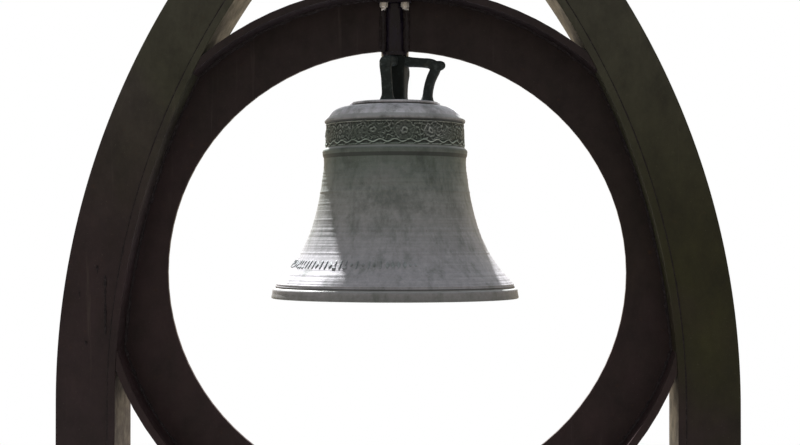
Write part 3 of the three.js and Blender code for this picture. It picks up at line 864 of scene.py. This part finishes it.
def sweep_rows(path, sections):
    """Rows of points: each section, in side and outward coordinates, at a point of a path that
    is flat in x and z."""
    along = np.gradient(path, axis=0)
    along /= np.linalg.norm(along, axis=1)[:, None]
    side = np.array([0.0, 1.0, 0.0])
    outward = np.cross(along, side)
    return (
        path[:, None]
        + sections[..., 0, None] * side
        + sections[..., 1, None] * outward[:, None]
    )


def join_pieces(name, *things):
    """One object from several closed meshes."""
    work = bmesh.new()
    for thing in things:
        work.from_mesh(thing.data)
        bpy.data.objects.remove(thing)
    mesh = bpy.data.meshes.new(name)
    work.to_mesh(mesh)
    work.free()
    made = bpy.data.objects.new(name, mesh)
    bpy.context.scene.collection.objects.link(made)
    return made


CAST_VOXEL = 0.0017
CAST_WAVES, CAST_GRAIN = 28.0, 240  # scales of the skin's two layers of unevenness


def cast(thing, roughness):
    """Melts closed meshes into one casting with soft corners and a sandy, uneven skin."""
    remesh = thing.modifiers.new("skin", "REMESH")
    remesh.mode = "VOXEL"
    remesh.voxel_size = CAST_VOXEL
    soften = thing.modifiers.new("soften", "SMOOTH")
    soften.factor = 0.5
    soften.iterations = 4
    applied(thing)
    vertices = thing.data.vertices
    places, normals = np.empty(3 * len(vertices)), np.empty(3 * len(vertices))
    vertices.foreach_get("co", places)
    vertices.foreach_get("normal", normals)
    places, normals = places.reshape(-1, 3), normals.reshape(-1, 3)
    rise = [
        noise.fractal(Vector(place) * CAST_WAVES, 1.0, 2.0, 3)
        + 0.35 * noise.fractal(Vector(place) * CAST_GRAIN, 1.0, 2.0, 2)
        for place in places
    ]
    places += roughness * np.array(rise)[:, None] * normals
    vertices.foreach_set("co", places.ravel())


def ellipse_section(half_side, half_out, power, count=20):
    """A rounded box outline in side and outward coordinates."""
    t = full_turn(count)
    c, s = np.cos(t), np.sin(t)
    return np.stack(
        [
            half_side * np.sign(c) * np.abs(c) ** (2 / power),
            half_out * np.sign(s) * np.abs(s) ** (2 / power),
        ],
        axis=-1,
    )


def make_canon(place, degrees):
    """A loop of the crown, from the post's top outwards and down to a flared foot."""
    top = POST_TOP - CROWN_Z - 0.0135
    shoulder, knee = (0.080, top - 0.005), (0.100, 0.074)
    route = np.concatenate(
        [
            line((0.022, top), shoulder, 24),
            bezier(shoulder, (0.100, top - 0.007), (0.107, 0.088), knee, 30)[1:],
            bezier(knee, (0.090, 0.056), (0.083, 0.035), (0.082, 0.001), 30)[1:],
        ]
    )
    route = resample(route, 0.003)
    path = np.stack([route[:, 0], 0 * route[:, 0], route[:, 1]], axis=-1)
    foot = np.exp(-((route[:, 1] / 0.010) ** 2))
    neck = np.exp(-(((route[:, 0] - 0.026) / 0.012) ** 2)) * (route[:, 1] > 0.05)
    corner = np.exp(-(np.hypot(route[:, 0] - 0.098, route[:, 1] - 0.088) / 0.016) ** 2)
    base = ellipse_section(0.0130, 0.0118, 3.4)
    growth = (1 + 0.40 * foot + 0.16 * neck + 0.10 * corner)[:, None, None]
    loop_mesh = grid("loop", sweep_rows(path, base[None] * growth))

    angles = full_turn(18)
    knob_profile = [(0.004, -0.020), (0.0125, -0.014), (0.0130, -0.002)]
    knob_profile += [(0.0115, 0.006), (0.0070, 0.0125), (0.0015, 0.0145)]
    knob = [[(r * math.cos(a), r * math.sin(a), h) for a in angles] for r, h in knob_profile]
    knob_mesh = grid("knob", np.array(knob))
    tilt = Matrix.Rotation(math.radians(84), 4, "Y")
    knob_mesh.data.transform(Matrix.Translation((0.1135, 0, top - 0.0125)) @ tilt)
    canon = join_pieces(f"crown_loop_{place}", loop_mesh, knob_mesh)
    turn = Matrix.Rotation(CROWN_TURN + math.radians(degrees), 4, "Z")
    canon.data.transform(Matrix.Translation((0, 0, CROWN_Z)) @ turn)
    cast(canon, 0.0005)
    finish_piece(canon, FINISHES["crown_bronze"], replaced=[f"canon_{place}"])


def make_post():
    """The crown's square post, a little spread at its foot, with the rod's hole through it."""
    height = POST_TOP - CROWN_Z
    outer_count = 48
    angles = full_turn(outer_count)
    levels = [(0.0002, 1.16), (0.003, 1.10), (0.008, 1.03), (0.016, 1.0), (0.060, 0.985)]
    levels += [(height - 0.006, 1.0), (height - 0.0015, 0.985), (height, 0.94)]
    section = ellipse_section(0.029, 0.029, 5.0, outer_count)
    rows = [[(x * grow, y * grow, z) for x, y in section] for z, grow in levels]
    bore = [(BORE * math.cos(a), BORE * math.sin(a)) for a in angles]
    rows += [[(x, y, z) for x, y in bore] for z in (height, 0.0002)]
    post = grid("crown_post_cast", np.array(rows), loop_rows=True)
    post.data.transform(Matrix.Translation((0, 0, CROWN_Z)) @ Matrix.Rotation(CROWN_TURN, 4, "Z"))
    cast(post, 0.0004)
    finish_piece(post, POST_PATINA_PAINTED_SHADE, replaced=["crown_post"])


# ---- Arch and weld beads -------------

EDGE_BREAK = 0.0012
# Radii of the weld beads
RING_BEAD = 0.006
WEB_BEAD = 0.0058
FOOT_BEAD = 0.0045
SCAR_BEAD = 0.0026
FACE_BEAD = 0.0024
BEAD_STEP = 0.0024  # between points along a bead


def bead(name, path, closed, radius, side=(0, 1, 0), lumps=0.25):
    """A weld bead along a path, with the ripples and lumps of a hand-laid pass."""
    path = resample(np.vstack([path, path[:1]]) if closed else path, BEAD_STEP)
    if closed:
        path = path[:-1]
        along = np.roll(path, -1, 0) - np.roll(path, 1, 0)
    else:
        along = np.gradient(path, axis=0)
    count = len(path)
    along /= np.linalg.norm(along, axis=1)[:, None]
    side = np.broadcast_to(np.asarray(side, float), path.shape)
    outward = np.cross(along, side)
    ripple = 0.10 * np.cos(np.arange(count) * 2 * math.pi / 2.7)
    swell = smoothed(rng.normal(0, 1, count), 5) * 1.3 + smoothed(rng.normal(0, 1, count), 31) * 1.6
    size = radius * np.clip(1 + ripple + lumps * swell, 0.55, 1.6)
    wander = smoothed(rng.normal(0, 1, count), 21) * radius * 0.5
    if not closed:
        size *= np.clip(np.minimum(np.arange(count) + 1, count - np.arange(count)) / 3, 0.2, 1)
    angles = full_turn(8)
    centre = path + wander[:, None] * side
    points = (
        centre[:, None]
        + (size[:, None] * np.cos(angles))[..., None] * side[:, None]
        + (size[:, None] * np.sin(angles))[..., None] * outward[:, None]
    )
    return grid(name, points, loop_rows=closed)


def arch_curve(arc, offset, count=90):
    """The left half of an arc of the arch, from its foot to the middle, moved outwards."""
    radius, centre_x = arc[0] + offset, arc[1]
    top = math.acos((centre_x + SEAM / 2) / radius)
    angles = np.linspace(0, top, count)
    curve = np.stack([centre_x - radius * np.cos(angles), SPRING_Z + radius * np.sin(angles)], -1)
    leg = np.stack([np.full(12, curve[0, 0]), np.linspace(FOOT_Z, SPRING_Z, 13)[:-1]], -1)
    return np.vstack([leg, curve])


def in_depth(curve, y):
    """A flat curve of x and z as points at one depth."""
    return np.stack([curve[:, 0], np.full(len(curve), y), curve[:, 1]], axis=-1)


def ring_corner(count=720):
    """Where the web meets the rim, or the arch's inner band where that is nearer."""
    t = full_turn(count)
    x = RIM_HALF_WIDTH * np.cos(t)
    z = RING_Z + RIM_HALF_HEIGHT * np.sin(t)
    above = np.maximum(z - SPRING_Z, 0)
    limit = np.sqrt(INNER_ARC[0] ** 2 - above**2) - INNER_ARC[1]
    return np.stack([np.clip(x, -limit, limit), z], axis=-1)


def make_strip(name, outer, inner, front, back, replaced):
    """A plate of the arch between two curves, in one length from the foot to the middle."""
    across = outer - inner
    across *= EDGE_BREAK / np.linalg.norm(across, axis=1)[:, None]
    corners = [
        (outer - across, front),
        (outer, front + EDGE_BREAK),
        (outer, back - EDGE_BREAK),
        (outer - across, back),
        (inner + across, back),
        (inner, back - EDGE_BREAK),
        (inner, front + EDGE_BREAK),
        (inner + across, front),
    ]
    points = np.stack([in_depth(curve, y) for curve, y in corners], axis=1)
    strip = grid(name, points)
    strip.modifiers.new("normals", "WEIGHTED_NORMAL").weight = 90
    finish_piece(strip, FINISHES["weathered_steel"], replaced=replaced)


def make_arch():
    """The front and back plates and the inner and outer bands, on both sides."""
    arcs = {"inner": ("lower_", "middle_", "upper_"), "outer": ("lower_", "upper_")}
    depth = FACE_Y - FACE - SEAM
    for hand, mirror in (("left", 1), ("right", -1)):
        outer, outer_inside = (arch_curve(OUTER_ARC, off) * (mirror, 1) for off in (0, -BAND))
        seam, inner_outside, inner = (
            arch_curve(INNER_ARC, off) * (mirror, 1) for off in (BAND + SEAM, BAND, 0)
        )
        for facing, low in (("front", -FACE_Y), ("back", FACE_Y - FACE)):
            nodes = [f"{part}_{facing}_plate_{hand}" for part in ("leg", "arch")]
            make_strip(f"{facing}_plate_{hand}", outer, seam, low, low + FACE, nodes)
        bands = (("inner", inner_outside, inner, BAND_Y), ("outer", outer, outer_inside, depth))
        for band, outside, inside, y in bands:
            nodes = [f"leg_{band}_band_{hand}"]
            nodes += [f"arch_{band}_band_{part}{hand}" for part in arcs[band]]
            make_strip(f"{band}_band_{hand}", outside, inside, -y, y, nodes)


# Beads along a cheek: what it is welded to, and the bead's place from the middle and radius.
CHEEK_BEADS = [("web", 0.0343, 0.0078, 0.0036), ("tube", 0.0236, 0.0098, 0.0032)]


def hanger_beads():
    """Beads on both sides of the cheeks, to the web and to the tube, at the front and the back."""
    beads = []
    low, high = (corner.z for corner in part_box("hanger_cheek_left"))
    for facing, sign in (("front", -1), ("back", 1)):
        for hand, mirror in (("left", -1), ("right", 1)):
            for part, x, y, radius in CHEEK_BEADS:
                path = [(mirror * x, sign * y, low + 0.002), (mirror * x, sign * y, high)]
                name = f"weld_cheek_{part}_{facing}_{hand}"
                beads.append(bead(name, path, False, radius, lumps=0.3))
    return beads


def frame_beads():
    """Beads in the four corners between the ring and the arch, and round the legs on their feet."""
    beads = []
    t = np.linspace(-0.5 * math.pi, 0.5 * math.pi, 2000)
    x = (RIM_HALF_WIDTH + BAND) * np.cos(t)
    z = RING_Z + (RIM_HALF_HEIGHT + BAND) * np.sin(t)
    limit = np.sqrt(INNER_ARC[0] ** 2 - np.maximum(z - SPRING_Z, 0) ** 2) - INNER_ARC[1]
    crossings = np.flatnonzero(np.diff(x > limit))
    out, inside = OUTER_ARC[0] - OUTER_ARC[1], INNER_ARC[0] - INNER_ARC[1]
    for hand, mirror in (("left", -1), ("right", 1)):
        for place, index in zip(("low", "high"), crossings):
            ends = [(mirror * x[index], y, z[index]) for y in (-BAND_Y + 0.002, BAND_Y - 0.002)]
            name = f"weld_ring_{place}_{hand}"
            beads.append(bead(name, ends, False, RING_BEAD, side=(1, 0, 0)))
        corners = [(out, -FACE_Y), (inside, -FACE_Y), (inside, FACE_Y), (out, FACE_Y)]
        foot = [(mirror * u, v, FOOT_Z) for u, v in corners]
        beads.append(bead(f"weld_foot_{hand}", foot, True, FOOT_BEAD, side=(0, 0, 1)))
    return beads


# Old weld scars on the left front plate: inwards from its outer edge, height over the spring line,
# and how far down the run of rust-stained spatter goes.
SCARS = [(0.123, 0.310, 0.145), (0.103, 0.334, 0.020), (0.059, 0.270, 0.012), (0.075, 0.150, 0.010)]


def plate_scars():
    outer = OUTER_ARC[0] - OUTER_ARC[1]
    beads = []
    for index, (inwards, height, run) in enumerate(SCARS):
        x, top = -outer + inwards, SPRING_Z + height
        path = [(x, -FACE_Y, top), (x + 0.001, -FACE_Y, top - run)]
        beads.append(bead(f"plate_scar_{index + 1}", path, False, SCAR_BEAD, lumps=0.5))
    return beads


def make_welds():
    beads = []
    corner = ring_corner()
    for facing, sign in (("front", -1), ("back", 1)):
        path = in_depth(corner, sign * WEB_Y)
        beads.append(bead(f"weld_web_{facing}", path, True, WEB_BEAD, lumps=0.32))
        for hand, mirror in (("left", 1), ("right", -1)):
            seam = arch_curve(INNER_ARC, BAND) * (mirror, 1)
            path = in_depth(seam, sign * FACE_Y)
            beads.append(bead(f"weld_face_{facing}_{hand}", path, False, FACE_BEAD, lumps=0.2))
    for made in beads + hanger_beads() + frame_beads() + plate_scars():
        finish_piece(made, WELD)


make_bell()
make_frieze()
make_ornament()
for place, degrees in (("right", 0), ("front", -90), ("rear", 90)):
    make_canon(place, degrees)
make_post()
make_arch()
make_welds()

# ---- Studio --------------------------


FLOOR_RADIUS = 5.5
FLOOR_THICKNESS = 0.02


def make_floor():
    angles = full_turn(96)
    x, y = FLOOR_RADIUS * np.cos(angles), FLOOR_RADIUS * np.sin(angles)
    rows = [np.stack([x, y, 0 * x + z], axis=-1) for z in (-FLOOR_THICKNESS, 0.0)]
    floor = grid("studio_floor", np.array(rows))
    floor.data.materials.append(floor_finish())


def area_light(name, target, direction, distance, size, power, color):
    light = bpy.data.lights.new(name, "AREA")
    light.shape = "DISK"
    light.size = size
    light.energy = power
    light.color = color
    lamp = bpy.data.objects.new(name, light)
    away = Vector(direction).normalized()
    lamp.location = Vector(target) + away * distance
    lamp.rotation_euler = away.to_track_quat("Z", "Y").to_euler()
    lamp.visible_camera = False
    bpy.context.scene.collection.objects.link(lamp)


WORLD_FRONT, WORLD_BACK = 0.42, 1.25  # strength of the sky
WORLD_OVERHEAD = 1.35  # the sky overhead, as a multiple of the sky at the horizon
HORIZON_TINT = (1.0, 0.80, 0.55, 1)
SKY_TINT = (0.95, 0.98, 1.0, 1)


def make_world():
    """White behind the object, and for everything else a soft sky, brighter at the back."""
    world = bpy.data.worlds.new("studio")
    world.use_nodes = True
    tree = world.node_tree
    tree.nodes.clear()
    place = add_node(tree, "ShaderNodeTexCoord").outputs["Generated"]
    split = add_node(tree, "ShaderNodeSeparateXYZ", {0: place}).outputs

    def between(axis, low, high, at_low, at_high):
        span = {"Value": split[axis], "From Min": low, "From Max": high}
        inputs = {**span, "To Min": at_low, "To Max": at_high}
        return add_node(tree, "ShaderNodeMapRange", inputs).outputs["Result"]

    depth = between("Y", -0.4, 0.9, WORLD_FRONT, WORLD_BACK)
    overhead = between("Z", 0.1, 0.9, 1.0, WORLD_OVERHEAD)
    product = add_node(tree, "ShaderNodeMath", {0: depth, 1: overhead}, operation="MULTIPLY")
    tints = {0: between("Z", 0.0, 0.5, 0.0, 1.0), 6: HORIZON_TINT, 7: SKY_TINT}
    tint = add_node(tree, "ShaderNodeMix", tints, data_type="RGBA").outputs[2]
    light = {"Color": tint, "Strength": product.outputs[0]}
    sky = add_node(tree, "ShaderNodeBackground", light).outputs[0]
    plain = {"Color": (1, 1, 1, 1), "Strength": 1.0}
    white = add_node(tree, "ShaderNodeBackground", plain).outputs[0]
    seen = add_node(tree, "ShaderNodeLightPath").outputs["Is Camera Ray"]
    choice = add_node(tree, "ShaderNodeMixShader", {0: seen, 1: sky, 2: white}).outputs[0]
    add_node(tree, "ShaderNodeOutputWorld", {"Surface": choice})
    bpy.context.scene.world = world
    bpy.context.scene.view_settings.view_transform = "Standard"


CAMERA_AT = (0.195, -3.84, 1.580)
CAMERA_TILT, CAMERA_TURN = math.radians(90.653), math.radians(3.83)


def make_camera():
    data = bpy.data.cameras.new("camera")
    data.sensor_width = 36
    data.lens = 69.75
    data.shift_x = 0.0375
    camera = bpy.data.objects.new("camera", data)
    camera.location = CAMERA_AT
    camera.rotation_euler = (CAMERA_TILT, 0, CAMERA_TURN)
    bpy.context.scene.collection.objects.link(camera)
    bpy.context.scene.camera = camera


make_floor()
make_world()
area_light(
    "key",
    target=(0, 0, RING_Z),
    direction=(-0.17, 0.41, 0.90),
    distance=5.0,
    size=0.20,
    power=1500,
    color=(1.0, 0.98, 0.95),
)
make_camera()
